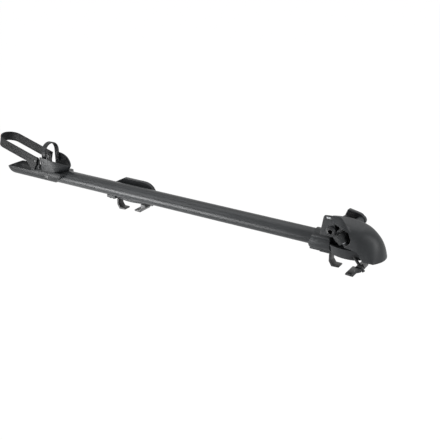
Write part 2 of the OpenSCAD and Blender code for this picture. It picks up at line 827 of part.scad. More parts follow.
// The hook in front of the crossbar that a clamp bolt draws up; inward is 1 or -1 towards the middle
module moving_claw(y, inward) {
  y0 = min(y + inward * claw_side_in, y - inward * claw_side_out);
  y1 = max(y + inward * claw_side_in, y - inward * claw_side_out);
  knee_x = bolt_x - bolt_end_s * sin(clamp_tilt);
  difference() {
    union() {
      plate_y(y0, y1) polygon([
        [claw_x, claw_top],
        [claw_x, claw_z + 10],
        [claw_x - 7, claw_z],
        [claw_x - claw_reach, claw_z],
        [claw_x - claw_reach, claw_z - claw_t + 1],
        [claw_x - 3, claw_z - claw_t],
        [claw_x + claw_t, claw_z + 7],
        [knee_x - 2, bolt_end_s * cos(clamp_tilt) + 4],
        [knee_x - 4, claw_top]
      ]);
      bolt_frame(y) translate([0, 0, bolt_end_s + 6]) cylinder(h = claw_boss_h, r = claw_boss_r);
    }
    bolt_frame(y) translate([0, 0, 2 * bolt_end_s]) cylinder(h = -3 * bolt_end_s, r = bolt_r + fit);
  }
}

module front_claw() {
  color(black_steel) moving_claw(front_bolt_y, 1);
}

// A clamp bolt with its six-sided head in the knob
module clamp_bolt(y, knob_s) {
  color(black_steel) bolt_frame(y) {
    translate([0, 0, bolt_end_s]) cylinder(h = knob_s - knob_head_h - bolt_end_s, r = bolt_r);
    translate([0, 0, knob_s - knob_head_h - 4]) cylinder(h = knob_head_h, r = knob_head_r, $fn = 6);
  }
}

// A round knob in two tiers, with grip grooves round the upper one
module clamp_knob(y, knob_s) {
  groove_r = PI * knob_r / knob_grooves * 0.55;
  color(black_plastic) bolt_frame(y) difference() {
    union() {
      translate([0, 0, knob_s - knob_top_h]) cylinder(h = knob_top_h, r = knob_r);
      translate([0, 0, knob_s - knob_h]) cylinder(h = knob_base_h, r = knob_r - 2);
    }
    for (i = [0:knob_grooves - 1]) rotate([0, 0, i * 360 / knob_grooves])
      translate([knob_r + groove_r * 0.4, 0, knob_s - knob_top_h + 2]) cylinder(h = knob_top_h, r = groove_r);
    translate([0, 0, knob_s - knob_h - over]) cylinder(h = knob_h, r = bolt_r + fit);
    translate([0, 0, knob_s - knob_head_h - 4 - fit])
      cylinder(h = knob_h, r = knob_head_r + 2 * fit, $fn = 6);
  }
}

// The washer between a knob and its lug
module clamp_washer(y, knob_s) {
  color(steel) bolt_frame(y) translate([0, 0, knob_s - knob_h - gap - washer_t]) difference() {
    cylinder(h = washer_t, r = washer_r);
    translate([0, 0, -over]) cylinder(h = washer_t + 2 * over, r = bolt_r + fit);
  }
}

module front_bolt() {
  clamp_bolt(front_bolt_y, front_knob_s);
}

module front_knob() {
  clamp_knob(front_bolt_y, front_knob_s);
}

module front_washer() {
  clamp_washer(front_bolt_y, front_knob_s);
}

// Rear clamp, which slides along the tube

module at_rear() {
  translate([rear_x, 0, 0]) children();
}

// The lens that bounds the rear clamp's near edge, drawn in by inset
module rear_lens(inset) {
  translate([rear_lens_x, rear_lens_r - rear_lens_near, 0]) cylinder(h = tube_h, r = rear_lens_r - inset);
}

module rear_carriage() {
  plate_top = tube_h - tube_r + 6;
  step_top = rear_cover_low - gap;
  color(grey_plastic) at_rear() difference() {
    union() {
      intersection() {
        block([rear_plate_x0, -foot_half_w, foot_z], [rear_plate_x1, rear_cover_y0, plate_top]);
        rear_lens(0);
      }
      block([slide_x - 16, -rear_screw_half_w, foot_z], [slide_x + 16, rear_cover_y0, plate_top]);
      block([rear_plate_x0, tube_r - over, foot_z], [rear_plate_x1 - 10, rear_cover_y1, step_top]);
      block([-20, rear_upright_y0, foot_z], [bar_w / 2 + 20, rear_upright_y1, rear_upright_top]);
      block([-8, rear_cover_y1 - over, foot_z + 2], [bar_w / 2 + 4, rear_bolt_y - lug_r + 4, step_top]);
      bolt_frame(rear_bolt_y) {
        translate([0, 0, rear_lug_s]) cylinder(h = rear_lug_top - rear_lug_s, r = lug_r);
      }
      block([12, rear_bolt_y - lug_r - 8, foot_z + 2], [34, rear_bolt_y, step_top]);
    }
    translate([0, 0, tube_h]) rod_x(rear_plate_x0 - over, rear_plate_x1 + over, tube_r + gap);
    bolt_frame(rear_bolt_y) {
      translate([0, 0, bolt_end_s]) cylinder(h = rear_knob_s - bolt_end_s, r = bolt_r + gap);
      translate([0, 0, rear_lug_top]) cylinder(h = knob_h + 10, r = knob_r + 1);
    }
    for (x = slide_screw_x) translate([x, 0, foot_z - over]) cylinder(h = tube_h, r = screw_r + fit);
    for (x = claw_screw_x) translate([x, rear_fixed_claw_y, foot_z - over])
      cylinder(h = 9, r = screw_r + fit);
    for (x = rear_cover_screw_x) translate([x, 0, rear_cover_screw_z])
      rod_y(rear_cover_y0, rear_cover_y1, screw_r + fit);
  }
}

// The outline of the rear cover, with the wall taken off by inset
module rear_cover_outline(inset) {
  x0 = -bar_w / 2 - 31;
  x1 = bar_w / 2 + rear_cover_nose;
  polygon(concat(
    [[x0 + inset, inset > 0 ? foot_z : rear_cover_low]],
    [[x0 + 6 + inset, rear_cover_top - 19]],
    [[x0 + rear_cover_lead + inset, rear_cover_top - inset]],
    [for (i = [0:8]) curve(
        [x1 - rear_cover_lead, rear_cover_top - inset], [x1 - rear_cover_bow, rear_cover_top - inset],
        [x1 - 2 - inset, rear_cover_top - 10], [x1 - inset, foot_z + 24], i / 8)],
    [[x1 - inset, inset > 0 ? foot_z : rear_cover_low]]
  ));
}

module rear_cover() {
  color(grey_plastic) at_rear() difference() {
    plate_y(rear_cover_y0, rear_cover_y1) rear_cover_outline(0);
    plate_y(rear_cover_y0 + cover_wall, rear_cover_y1 + over) rear_cover_outline(cover_wall);
    for (x = rear_cover_screw_x) translate([x, 0, rear_cover_screw_z])
      rod_y(rear_cover_y0 - over, rear_cover_y1, screw_r + fit);
  }
}

module rear_cover_screws() {
  color(steel) at_rear() for (x = rear_cover_screw_x) translate([x, 0, rear_cover_screw_z]) {
    rod_y(rear_cover_y0 + 0.5, rear_upright_y1, screw_r);
    rod_y(rear_upright_y1, rear_upright_y1 + screw_head_h, screw_head_r);
  }
}

module rear_pad() {
  color(rubber) at_rear() intersection() {
    block([2 - bar_w / 2, -foot_half_w, 0], [bar_w / 2 - 2, rear_pad_far, foot_z]);
    rear_lens(2);
  }
}

module rear_fixed_claw() {
  color(black_steel) at_rear() translate([0, rear_fixed_claw_y, 0]) difference() {
    fixed_claw(foot_z);
    claw_screw_holes(foot_z);
  }
}

module rear_claw_screws() {
  at_rear() translate([0, rear_fixed_claw_y, 0]) claw_screw_pair(foot_z);
}

module rear_claw() {
  color(black_steel) at_rear() moving_claw(rear_bolt_y, -1);
}

module rear_bolt() {
  at_rear() clamp_bolt(rear_bolt_y, rear_knob_s);
}

module rear_knob() {
  at_rear() clamp_knob(rear_bolt_y, rear_knob_s);
}

module rear_washer() {
  at_rear() clamp_washer(rear_bolt_y, rear_knob_s);
}

// The two screws whose heads show under the tube behind the rear crossbar
module rear_slide_screws() {
  color(black_steel) at_rear() for (x = slide_screw_x) translate([x, 0, foot_z]) {
    translate([0, 0, -screw_head_h]) cylinder(h = screw_head_h, r = screw_head_r);
    cylinder(h = slide_nut_z + slide_nut_h - 1 - foot_z, r = screw_r);
  }
}

module rear_slide_nut() {
  color(steel) at_rear() difference() {
    block([slide_x - slide_nut_half_l, -slide_nut_half_w, slide_nut_z],
          [slide_x + slide_nut_half_l, slide_nut_half_w, slide_nut_z + slide_nut_h]);
    for (x = slide_screw_x) translate([x, 0, 0]) cylinder(h = tube_h, r = screw_r + fit);
  }
}

// Wheel tray, which slides on the tube's rear end

module wheel_tray() {
  color(black_plastic) difference() {
    union() {
      intersection() {
        union() {
          translate([tail_tip + trough_r, 0, trough_z]) sphere(trough_r, $fn = 96);
          translate([0, 0, trough_z]) rod_x(tail_tip + trough_r, body_back + over, trough_r);
        }
        block([tail_tip - over, -trough_r, 0], [body_back + over, trough_r, trough_z]);
      }
      intersection() {
        translate([0, 0, trough_z]) rod_x(body_back, mouth_top_x, trough_r);
        union() {
          block([body_back, -trough_r, 0], [mouth_top_x - mouth_round, trough_r, cradle_low]);
          translate([mouth_top_x - mouth_round, 0, 0]) cylinder(h = cradle_low, r = mouth_round);
        }
      }
      for (side = [-1, 1]) cheek(side);
    }
    difference() {
      union() {
        translate([tail_tip + trough_r, 0, trough_z]) sphere(trough_r - tray_wall, $fn = 96);
        translate([0, 0, trough_z]) rod_x(tail_tip + trough_r, body_back, trough_r - tray_wall);
      }
      block([body_back, -trough_r, 0], [0, trough_r, 2 * trough_z]);
    }
    translate([0, 0, tube_h]) rod_x(tail_tip + trough_r, mouth_top_x + over, tube_r + gap);
    plate_y(-2 * trough_r, 2 * trough_r) polygon([
      [mouth_low_x, -over],
      [mouth_low_x, trough_z - trough_r],
      [mouth_top_x, cradle_low + over],
      [mouth_top_x + 2, cradle_low + over],
      [mouth_top_x + 2, -over]
    ]);
    plate_y(-2 * trough_r, 2 * trough_r) polygon([
      [tail_tip - over, trough_z - tail_dip],
      [tail_tip + tail_scoop, trough_z],
      [tail_tip + tail_scoop, trough_z + over],
      [tail_tip - over, trough_z + over]
    ]);
    translate([lock_screw_x, 0, tube_h]) rod_y(-2 * trough_r, 0, lock_screw_r + fit);
    for (x = cradle_screw_x, side = [-1, 1]) translate([x, side * cradle_screw_y, cradle_low - 8])
      cylinder(h = 20, r = screw_r + fit);
    for (side = [-1, 1]) translate([strap_pin_x, 0, strap_pin_z])
      rod_y(side * cheek_out - 8, side * cheek_out + 8, pin_r + fit);
  }
}

// An upright lug inside the strap that carries one of its pins
module cheek(side) {
  y0 = side > 0 ? cheek_out - cheek_t : -cheek_out;
  plate_y(y0, y0 + cheek_t) {
    translate([strap_pin_x, strap_pin_z]) circle(cheek_half_l);
    translate([strap_pin_x - cheek_half_l, trough_z - 8])
      square([2 * cheek_half_l, strap_pin_z - trough_z + 8]);
  }
}

module tray_lock_screw() {
  face = -sqrt(trough_r * trough_r - pow(trough_z - tube_h, 2));
  color(black_steel) translate([lock_screw_x, 0, tube_h]) difference() {
    rod_y(face, -tube_r - gap, lock_screw_r);
    block([-lock_slot_w / 2, face - over, -lock_screw_r],
          [lock_slot_w / 2, face + lock_slot_d, lock_screw_r]);
  }
}

// The cradle's outer or inner form: a boat with flared sides and a bow towards the head
module cradle_form(inset, low, top) {
  half = cradle_half_w - inset;
  bow = bow_x - inset;
  bow_c = bow - sqrt(bow_r * bow_r - pow(bow_r - half, 2));
  back = cradle_back - (inset > 0 ? over : 0);
  rise = inset > 0 ? 20 : 0;
  intersection() {
    translate([0, 0, low]) linear_extrude(top - low) intersection() {
      translate([back, -half]) square([bow - back + over, 2 * half]);
      translate([bow_c, bow_r - half]) circle(bow_r, $fn = 128);
      translate([bow_c, half - bow_r]) circle(bow_r, $fn = 128);
    }
    plate_x(back - over, bow + over) polygon([
      [inset - cradle_foot_w, cradle_low],
      [cradle_foot_w - inset, cradle_low],
      [half, cradle_top],
      [half, cradle_top + rise],
      [-half, cradle_top + rise],
      [-half, cradle_top]
    ]);
    plate_y(-2 * half, 2 * half) polygon([
      [back - over, cradle_low],
      [bow - 14, cradle_low],
      [bow, cradle_top - bow_drop + rise],
      [tray_x + 30, cradle_top - 1 + rise],
      [back - over, cradle_top + rise]
    ]);
  }
}

module wheel_cradle() {
  color(black_plastic) difference() {
    cradle_form(0, cradle_low, cradle_top);
    cradle_form(tray_wall, cradle_floor, cradle_top + 20);
    translate([0, 0, tube_h]) rod_x(cradle_back - over, bow_x + over, tube_r + gap);
    translate([tray_x, 0, tray_pin_z]) rod_y(-2 * cradle_half_w, 2 * cradle_half_w, pin_r + fit);
    for (x = cradle_screw_x, side = [-1, 1]) translate([x, side * cradle_screw_y, cradle_low - over])
      cylinder(h = 12 + 2 * tray_wall, r = screw_r + fit);
  }
}

module cradle_screws() {
  color(black_steel) for (x = cradle_screw_x, side = [-1, 1]) translate([x, side * cradle_screw_y, 0]) {
    translate([0, 0, cradle_floor]) cylinder(h = 2, r = screw_r + 1);
    translate([0, 0, cradle_low - 7]) cylinder(h = cradle_floor - cradle_low + 7, r = screw_r);
  }
}

// Frame of the strap: its local X runs back along the strap from the pins
module strap_frame() {
  translate([strap_pin_x, 0, strap_pin_z]) rotate([0, strap_lean, 0]) children();
}

module strap_loop_plan(half) {
  straight = strap_len - strap_half_w;
  translate([-straight, 0]) circle(half);
  translate([-straight, -half]) square([straight + strap_nose, 2 * half]);
}

module wheel_strap() {
  color(rubber) difference() {
    strap_frame() {
      translate([0, 0, -strap_w / 2]) linear_extrude(strap_w) difference() {
        strap_loop_plan(strap_half_w);
        strap_loop_plan(strap_half_w - strap_t);
      }
      plate_y(-strap_half_w, -strap_half_w + strap_t) polygon([
        [strap_nose, 0],
        [strap_nose - 8, -strap_w / 2 - fin_drop],
        [-6, -strap_w / 2 - fin_drop + 2],
        [-fin_len, 0]
      ]);
    }
    translate([strap_pin_x, 0, strap_pin_z]) rod_y(-2 * strap_half_w, 2 * strap_half_w, pin_r + fit);
  }
}

// A pin from the inside of a cheek out to the strap's outer face
module strap_pins() {
  color(black_steel) for (side = [0, 180]) translate([strap_pin_x, 0, strap_pin_z]) rotate([0, 0, side]) {
    rod_y(cheek_out - cheek_t, strap_half_w, pin_r);
    rod_y(cheek_out - cheek_t - pin_head_t, cheek_out - cheek_t, pin_head_r);
  }
}

module hoop_outline(half) {
  spring_z = tray_pin_z + hoop_h - hoop_half_w;
  translate([0, spring_z]) circle(half);
  translate([-half, tray_pin_z - 6]) square([2 * half, spring_z - tray_pin_z + 6]);
}

module tyre_hoop() {
  color(black_plastic) difference() {
    plate_x(tray_x - hoop_w / 2, tray_x + hoop_w / 2) difference() {
      hoop_outline(hoop_half_w);
      hoop_outline(hoop_half_w - hoop_t);
      translate([-hoop_half_w + hoop_t, tray_pin_z - 10]) square([2 * (hoop_half_w - hoop_t), 20]);
    }
    translate([tray_x, 0, tray_pin_z]) rod_y(-2 * hoop_half_w, 2 * hoop_half_w, pin_r + fit);
  }
}

// A pin from inside a leg of the hoop out through the cradle's wall
module hoop_pins() {
  flare = (cradle_half_w - cradle_foot_w) / (cradle_top - cradle_low);
  wall_out = cradle_foot_w + flare * (tray_pin_z - cradle_low);
  color(black_steel) for (side = [0, 180]) translate([tray_x, 0, tray_pin_z]) rotate([0, 0, side]) {
    rod_y(hoop_half_w - hoop_t - gap, wall_out, pin_r);
    rod_y(hoop_half_w - hoop_t - gap - pin_head_t, hoop_half_w - hoop_t - gap, pin_head_r);
  }
}

main_tube();
tube_end_plug();
head_base();
socket_screws();
head_cover();
cover_screws();
indicator_mark();
axle_sleeve();
near_dropout_seat();
far_dropout_seat();
lock_lever();
lever_grip();
lever_shaft();
lever_screw();
lock_plunger();
front_saddle();
saddle_screws();
front_pad();
front_fixed_claw();
front_claw_screws();
front_claw();
front_bolt();
front_knob();
front_washer();
rear_carriage();
rear_cover();
rear_cover_screws();
rear_pad();
rear_fixed_claw();
rear_claw_screws();
rear_claw();
rear_bolt();
rear_knob();
rear_washer();
rear_slide_screws();
rear_slide_nut();
wheel_tray();
tray_lock_screw();
wheel_cradle();
cradle_screws();
wheel_strap();
strap_pins();
tyre_hoop();
hoop_pins();
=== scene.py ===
"""Looks of a roof mounted bike carrier, built round its CAD frame. Metres, in the CAD part's own frame."""
import json
import math

import bmesh
import bpy
import numpy as np
from mathutils import Matrix, Vector

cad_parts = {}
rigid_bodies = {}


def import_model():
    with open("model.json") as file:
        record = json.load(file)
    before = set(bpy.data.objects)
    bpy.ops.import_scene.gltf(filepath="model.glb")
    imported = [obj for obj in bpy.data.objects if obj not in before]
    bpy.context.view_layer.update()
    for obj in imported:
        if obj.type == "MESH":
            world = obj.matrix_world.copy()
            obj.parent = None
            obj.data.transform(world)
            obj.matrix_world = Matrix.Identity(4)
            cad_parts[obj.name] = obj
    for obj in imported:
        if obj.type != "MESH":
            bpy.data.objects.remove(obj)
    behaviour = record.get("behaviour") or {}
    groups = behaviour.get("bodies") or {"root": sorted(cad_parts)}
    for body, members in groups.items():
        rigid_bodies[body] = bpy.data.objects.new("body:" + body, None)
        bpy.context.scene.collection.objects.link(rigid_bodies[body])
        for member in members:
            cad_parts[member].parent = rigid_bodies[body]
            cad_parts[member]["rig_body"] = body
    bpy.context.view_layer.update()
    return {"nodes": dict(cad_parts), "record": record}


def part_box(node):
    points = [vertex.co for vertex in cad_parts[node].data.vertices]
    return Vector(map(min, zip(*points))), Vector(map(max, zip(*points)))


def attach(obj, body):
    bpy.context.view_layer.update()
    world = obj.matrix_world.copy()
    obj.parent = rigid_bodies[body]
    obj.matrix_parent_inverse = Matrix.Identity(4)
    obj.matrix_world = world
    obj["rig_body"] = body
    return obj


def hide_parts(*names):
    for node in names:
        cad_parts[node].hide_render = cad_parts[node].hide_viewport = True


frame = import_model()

MM = 0.001
scene = bpy.context.scene


# Camera: the photograph's viewing angle, fitted to the tube's edges

IMAGE = 440
FOCAL_PX = 780.94
AZIMUTH, ELEVATION = math.radians(32.03), math.radians(22.85)
EYE = Vector((0.68665, -1.71162, 0.86316))

eye_data = bpy.data.cameras.new("eye")
eye_data.sensor_width = 36.0
eye_data.lens = FOCAL_PX / IMAGE * eye_data.sensor_width
eye_data.clip_start, eye_data.clip_end = 0.05, 60.0
eye = bpy.data.objects.new("eye", eye_data)
scene.collection.objects.link(eye)
back = Vector((math.sin(AZIMUTH) * math.cos(ELEVATION), -math.cos(AZIMUTH) * math.cos(ELEVATION),
               math.sin(ELEVATION)))
eye.location = EYE
eye.rotation_euler = (-back).to_track_quat("-Z", "Y").to_euler()
scene.camera = eye
scene.view_settings.view_transform = "Standard"


# Materials

def linear(hex_colour):
    """An sRGB hex colour as linear RGBA."""
    parts = [int(hex_colour[i:i + 2], 16) / 255 for i in (1, 3, 5)]
    return tuple(c / 12.92 if c <= 0.04045 else ((c + 0.055) / 1.055) ** 2.4 for c in parts) + (1.0,)


def add(tree, kind, settings=None, inputs=None):
    """Adds one node. Settings are its properties, and inputs are values or the sockets that feed it."""
    made = tree.nodes.new(kind)
    for key, value in (settings or {}).items():
        setattr(made, key, value)
    for key, value in (inputs or {}).items():
        if isinstance(value, bpy.types.NodeSocket):
            tree.links.new(value, made.inputs[key])
        else:
            made.inputs[key].default_value = value
    return made


def skin_material(name, dark, light, worn, rough, grain_mm, relief_mm, patch_mm, specular, metallic=0.0):
    """A material with a fine surface grain, slow changes of tone, and edges rubbed a little paler.

    Grain is drawn at grain_mm, with relief_mm of height, and the slow changes of tone at patch_mm.
    """
    material = bpy.data.materials.new(name)
    material.use_nodes = True
    tree = material.node_tree
    shader = tree.nodes["Principled BSDF"]
    place = add(tree, "ShaderNodeTexCoord")
    grain = add(tree, "ShaderNodeTexNoise", None,
                {"Vector": place.outputs["Object"], "Scale": 1.0 / (grain_mm * MM), "Detail": 3.0, "Roughness": 0.6})
    patch = add(tree, "ShaderNodeTexNoise", None,
                {"Vector": place.outputs["Object"], "Scale": 1.0 / (patch_mm * MM), "Detail": 2.0})
    tone = add(tree, "ShaderNodeMath", {"operation": "MULTIPLY_ADD"},
               {0: grain.outputs["Fac"], 1: 0.5, 2: patch.outputs["Fac"]})
    colour = add(tree, "ShaderNodeValToRGB", None, {"Fac": tone.outputs["Value"]})
    colour.color_ramp.elements[0].position, colour.color_ramp.elements[0].color = 0.50, linear(dark)
    colour.color_ramp.elements[1].position, colour.color_ramp.elements[1].color = 0.98, linear(light)
    form = add(tree, "ShaderNodeNewGeometry")
    edge = add(tree, "ShaderNodeMapRange", None,
               {"Value": form.outputs["Pointiness"], "From Min": 0.54, "From Max": 0.66,
                "To Min": 0.0, "To Max": 0.7})
    rubbed = add(tree, "ShaderNodeMix", {"data_type": "RGBA"},
                 {0: edge.outputs["Result"], 6: colour.outputs["Color"], 7: linear(worn)})
    shine = add(tree, "ShaderNodeMapRange", None,
                {"Value": grain.outputs["Fac"], "From Min": 0.3, "From Max": 0.7,
                 "To Min": rough - 0.06, "To Max": rough + 0.06})
    relief = add(tree, "ShaderNodeBump", None,
                 {"Height": grain.outputs["Fac"], "Strength": 1.0, "Distance": relief_mm * MM})
    tree.links.new(rubbed.outputs[2], shader.inputs["Base Color"])
    tree.links.new(shine.outputs["Result"], shader.inputs["Roughness"])
    tree.links.new(relief.outputs["Normal"], shader.inputs["Normal"])
    shader.inputs["Specular IOR Level"].default_value = specular
    shader.inputs["Metallic"].default_value = metallic
    return material


# Powder-coated aluminium tube: a satin skin with a fine even tooth and long soft highlights
tube_coat = skin_material("powder_coated_aluminium", "#2B2D2F", "#353739", "#3F4143", 0.34, 1.0, 0.02, 70.0, 0.30)
# Glass-filled nylon, moulded against a spark-eroded tool: dry and even, with a grain of about half a millimetre,
# drawn at 0.9 mm so that it shows
nylon = skin_material("moulded_grey_nylon", "#282A2C", "#343638", "#3F4143", 0.46, 0.9, 0.05, 45.0, 0.26)
# ABS in black, moulded against a leathery tool: a little shinier, and paler where round edges are rubbed
black_abs = skin_material("moulded_black_abs", "#1F2123", "#2A2C2E", "#363839", 0.42, 0.9, 0.04, 45.0, 0.28)
# EPDM rubber: matt, with a faint dry bloom
rubber = skin_material("epdm_rubber", "#1B1C1D", "#28292A", "#303132", 0.60, 1.2, 0.05, 28.0, 0.28)
# Zinc-plated steel: bright grey with a slight crystal cloud
zinc = skin_material("zinc_plated_steel", "#85888B", "#A2A5A8", "#B4B6B8", 0.34, 1.5, 0.01, 10.0, 0.5, 1.0)
# Electro-coated black steel: smooth and a little glossy, with a thin orange peel of about 2.5 mm
black_steel = skin_material("coated_black_steel", "#1C1D1F", "#28292B", "#3A3B3D", 0.34, 2.5, 0.02, 30.0, 0.36)
# Pale polycarbonate inlay: plain and slightly glossy
pale = skin_material("moulded_pale_polycarbonate", "#C2C5C8", "#D0D3D6", "#DADCDE", 0.32, 1.0, 0.01, 12.0, 0.4)

FINISH = {"tube_alloy": tube_coat, "grey_plastic": nylon, "black_plastic": black_abs, "black_rubber": rubber,
          "plated_steel": zinc, "black_steel": black_steel, "pale_mark": pale}
slot_of = {row["node"]: row["material_slot"] for row in frame["record"]["subparts"]}
for name, node in frame["nodes"].items():
    node.data.materials.clear()
    node.data.materials.append(FINISH[slot_of[name]])


# Light: soft boxes over, beside and in front of the carrier, a low row that draws the band of light along the tube,
# and a pale floor well below it

def soft_box(name, place, aim, width, depth, power, spread_deg=180.0):
    """A rectangular soft light that faces a point, with a beam that may be narrowed."""
    data = bpy.data.lights.new(name, "AREA")
    data.shape = "RECTANGLE"
    data.size, data.size_y, data.energy = width, depth, power
    data.spread = math.radians(spread_deg)
    lamp = bpy.data.objects.new(name, data)
    scene.collection.objects.link(lamp)
    lamp.location = place
    lamp.rotation_euler = (Vector(aim) - Vector(place)).to_track_quat("-Z", "Y").to_euler()
    lamp.visible_camera = False


MIDDLE = (-0.55, 0.0, 0.03)
HEAD = (0.03, 0.0, 0.06)
REAR = (-0.80, 0.0, 0.08)
soft_box("top_box", (-0.9, 0.3, 2.4), MIDDLE, 3.0, 1.4, 20.0)
soft_box("left_box", (-2.0, -1.6, 1.2), REAR, 1.4, 1.4, 2.2, 60.0)
soft_box("nose_box", (1.5, -0.15, 0.85), HEAD, 0.8, 0.8, 18.0)
ROW_START, ROW_PITCH, ROW_LEAD = -1.44, 0.26, 0.42
for i, power in enumerate((0.95, 1.05, 1.05, 0.95, 0.6)):
    x = ROW_START + ROW_PITCH * i
    soft_box("low_box_%d" % i, (x, -0.50, -0.25), (x + ROW_LEAD, -0.02, 0.03), 0.20, 0.38, power, 100.0)

world = bpy.data.worlds.new("studio")
scene.world = world
world.use_nodes = True
sky = world.node_tree
rays = add(sky, "ShaderNodeLightPath")
seen = add(sky, "ShaderNodeMath", {"operation": "MAXIMUM"},
           {0: rays.outputs["Is Camera Ray"], 1: rays.outputs["Is Transmission Ray"]})
seen = add(sky, "ShaderNodeMath", {"operation": "MAXIMUM"}, {0: seen.outputs[0], 1: rays.outputs["Is Glossy Ray"]})
fill = add(sky, "ShaderNodeBackground", None, {"Color": (1, 1, 1, 1), "Strength": 0.15})
white = add(sky, "ShaderNodeBackground", None, {"Color": (1, 1, 1, 1), "Strength": 1.0})
both = add(sky, "ShaderNodeMixShader", None, {0: seen.outputs[0], 1: fill.outputs[0], 2: white.outputs[0]})
sky.links.new(both.outputs[0], sky.nodes["World Output"].inputs["Surface"])

FLOOR_Z = -0.30
FLOOR_HALF = 14.0
floor_mesh = bpy.data.meshes.new("floor")
corners = [(sx * FLOOR_HALF, sy * FLOOR_HALF, FLOOR_Z) for sx, sy in ((-1, -1), (1, -1), (1, 1), (-1, 1))]
floor_mesh.from_pydata(corners, [], [(0, 1, 2, 3)])
floor = bpy.data.objects.new("floor", floor_mesh)
scene.collection.objects.link(floor)
paper = bpy.data.materials.new("white_paper")
paper.use_nodes = True
sheet = paper.node_tree
paper_rays = add(sheet, "ShaderNodeLightPath")
paper_seen = add(sheet, "ShaderNodeMath", {"operation": "MAXIMUM"},
                 {0: paper_rays.outputs["Is Camera Ray"], 1: paper_rays.outputs["Is Glossy Ray"]})
paper_share = add(sheet, "ShaderNodeMath", {"operation": "MULTIPLY"}, {0: paper_seen.outputs[0], 1: 0.88})
glow = add(sheet, "ShaderNodeEmission", None, {"Color": (1, 1, 1, 1), "Strength": 1.13})
skin = sheet.nodes["Principled BSDF"]
skin.inputs["Base Color"].default_value = linear("#B4B4B4")
skin.inputs["Roughness"].default_value = 0.9
skin.inputs["Specular IOR Level"].default_value = 0.0
paper_mix = add(sheet, "ShaderNodeMixShader", None,
                {0: paper_share.outputs[0], 1: skin.outputs[0], 2: glow.outputs[0]})
sheet.links.new(paper_mix.outputs[0], sheet.nodes["Material Output"].inputs["Surface"])
floor_mesh.materials.append(paper)


# Making and finishing pieces

def plain(piece):
    """Turns what a piece's modifiers make into its plain mesh."""
    made = bpy.data.meshes.new_from_object(piece.evaluated_get(bpy.context.evaluated_depsgraph_get()))
    old = piece.data
    piece.modifiers.clear()
    piece.data = made
    made.name = piece.name
    bpy.data.meshes.remove(old)


def piece_of(name, verts, faces):
    """An object with a mesh of these corners and faces, in metres, with its faces turned outwards."""
    mesh = bpy.data.meshes.new(name)
    mesh.from_pydata([tuple(v) for v in verts], [], faces)
    build = bmesh.new()
    build.from_mesh(mesh)
    bmesh.ops.remove_doubles(build, verts=build.verts, dist=1e-7)
    bmesh.ops.recalc_face_normals(build, faces=build.faces)
    build.to_mesh(mesh)
    build.free()
    piece = bpy.data.objects.new(name, mesh)
    scene.collection.objects.link(piece)
    return piece


def round_edges(piece, radius_mm, segments=3, sharp_deg=32.0):
    """Adds a bevel to a piece's sharp edges."""
    rounding = piece.modifiers.new("rounding", "BEVEL")
    rounding.width = radius_mm * MM
    rounding.segments = segments
    rounding.limit_method = "ANGLE"
    rounding.angle_limit = math.radians(sharp_deg)
    rounding.use_clamp_overlap = True


def set_piece(piece, nodes, smooth_deg=40.0):
    """Gives a finished piece its finish, body and slot, and lets it stand for its CAD nodes."""
    mesh = piece.data
    mesh.materials.clear()
    mesh.materials.append(FINISH[slot_of[nodes[0]]])
    mesh.shade_smooth()
    mesh.set_sharp_from_angle(angle=math.radians(smooth_deg))
    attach(piece, frame["nodes"][nodes[0]]["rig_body"])
    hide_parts(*nodes)


def merged_copy(node, name):
    """A copy of a CAD node with its triangles joined into faces."""
    build = bmesh.new()
    build.from_mesh(frame["nodes"][node].data)
    bmesh.ops.remove_doubles(build, verts=build.verts, dist=2e-6)
    bmesh.ops.dissolve_limit(build, angle_limit=math.radians(0.5), verts=build.verts, edges=build.edges)
    mesh = bpy.data.meshes.new(name)
    build.to_mesh(mesh)
    build.free()
    piece = bpy.data.objects.new(name, mesh)
    scene.collection.objects.link(piece)
    return piece


def softened(node, name, radius_mm):
    """A CAD node with its edges rounded as a mould or a press rounds them."""
    piece = merged_copy(node, name)
    round_edges(piece, radius_mm)
    plain(piece)
    set_piece(piece, [node])


def islands(node):
    """The lowest and highest corners of each separate solid in a CAD node."""
    build = bmesh.new()
    build.from_mesh(frame["nodes"][node].data)
    bmesh.ops.remove_doubles(build, verts=build.verts, dist=2e-6)
    left, boxes = set(build.verts), []
    while left:
        todo, group = [left.pop()], []
        while todo:
            vert = todo.pop()
            group.append(vert.co.copy())
            for edge in vert.link_edges:
                other = edge.other_vert(vert)
                if other in left:
                    left.discard(other)
                    todo.append(other)
        corners = np.array(group)
        boxes.append((Vector(corners.min(axis=0)), Vector(corners.max(axis=0))))
    build.free()
    return sorted(boxes, key=lambda box: tuple(box[0]))


def skin_between(name, rings):
    """A closed piece through rings with the same number of points, with a flat face at each end."""
    count = len(rings[0])
    faces = [tuple(range(count)), tuple((len(rings) - 1) * count + i for i in range(count))]
    for r in range(len(rings) - 1):
        for i in range(count):
            j = (i + 1) % count
            faces.append((r * count + i, r * count + j, (r + 1) * count + j, (r + 1) * count + i))
    return piece_of(name, [p for ring in rings for p in ring], faces)


def prism(name, outline, low, high):
    """A straight block with an outline in X and Z, from low to high in Y, all in millimetres."""
    return skin_between(name, [[(x * MM, y * MM, z * MM) for x, z in outline] for y in (low, high)])


def rod(name, start, end, radius, sides=64):
    """A round bar between two points, all in millimetres."""
    start, end = Vector(start), Vector(end)
    turn = (end - start).to_track_quat("Z", "Y").to_matrix()
    ring = [turn @ Vector((radius * math.cos(a), radius * math.sin(a), 0))
            for a in (2 * math.pi * i / sides for i in range(sides))]
    return skin_between(name, [[(p + at) * MM for p in ring] for at in (start, end)])


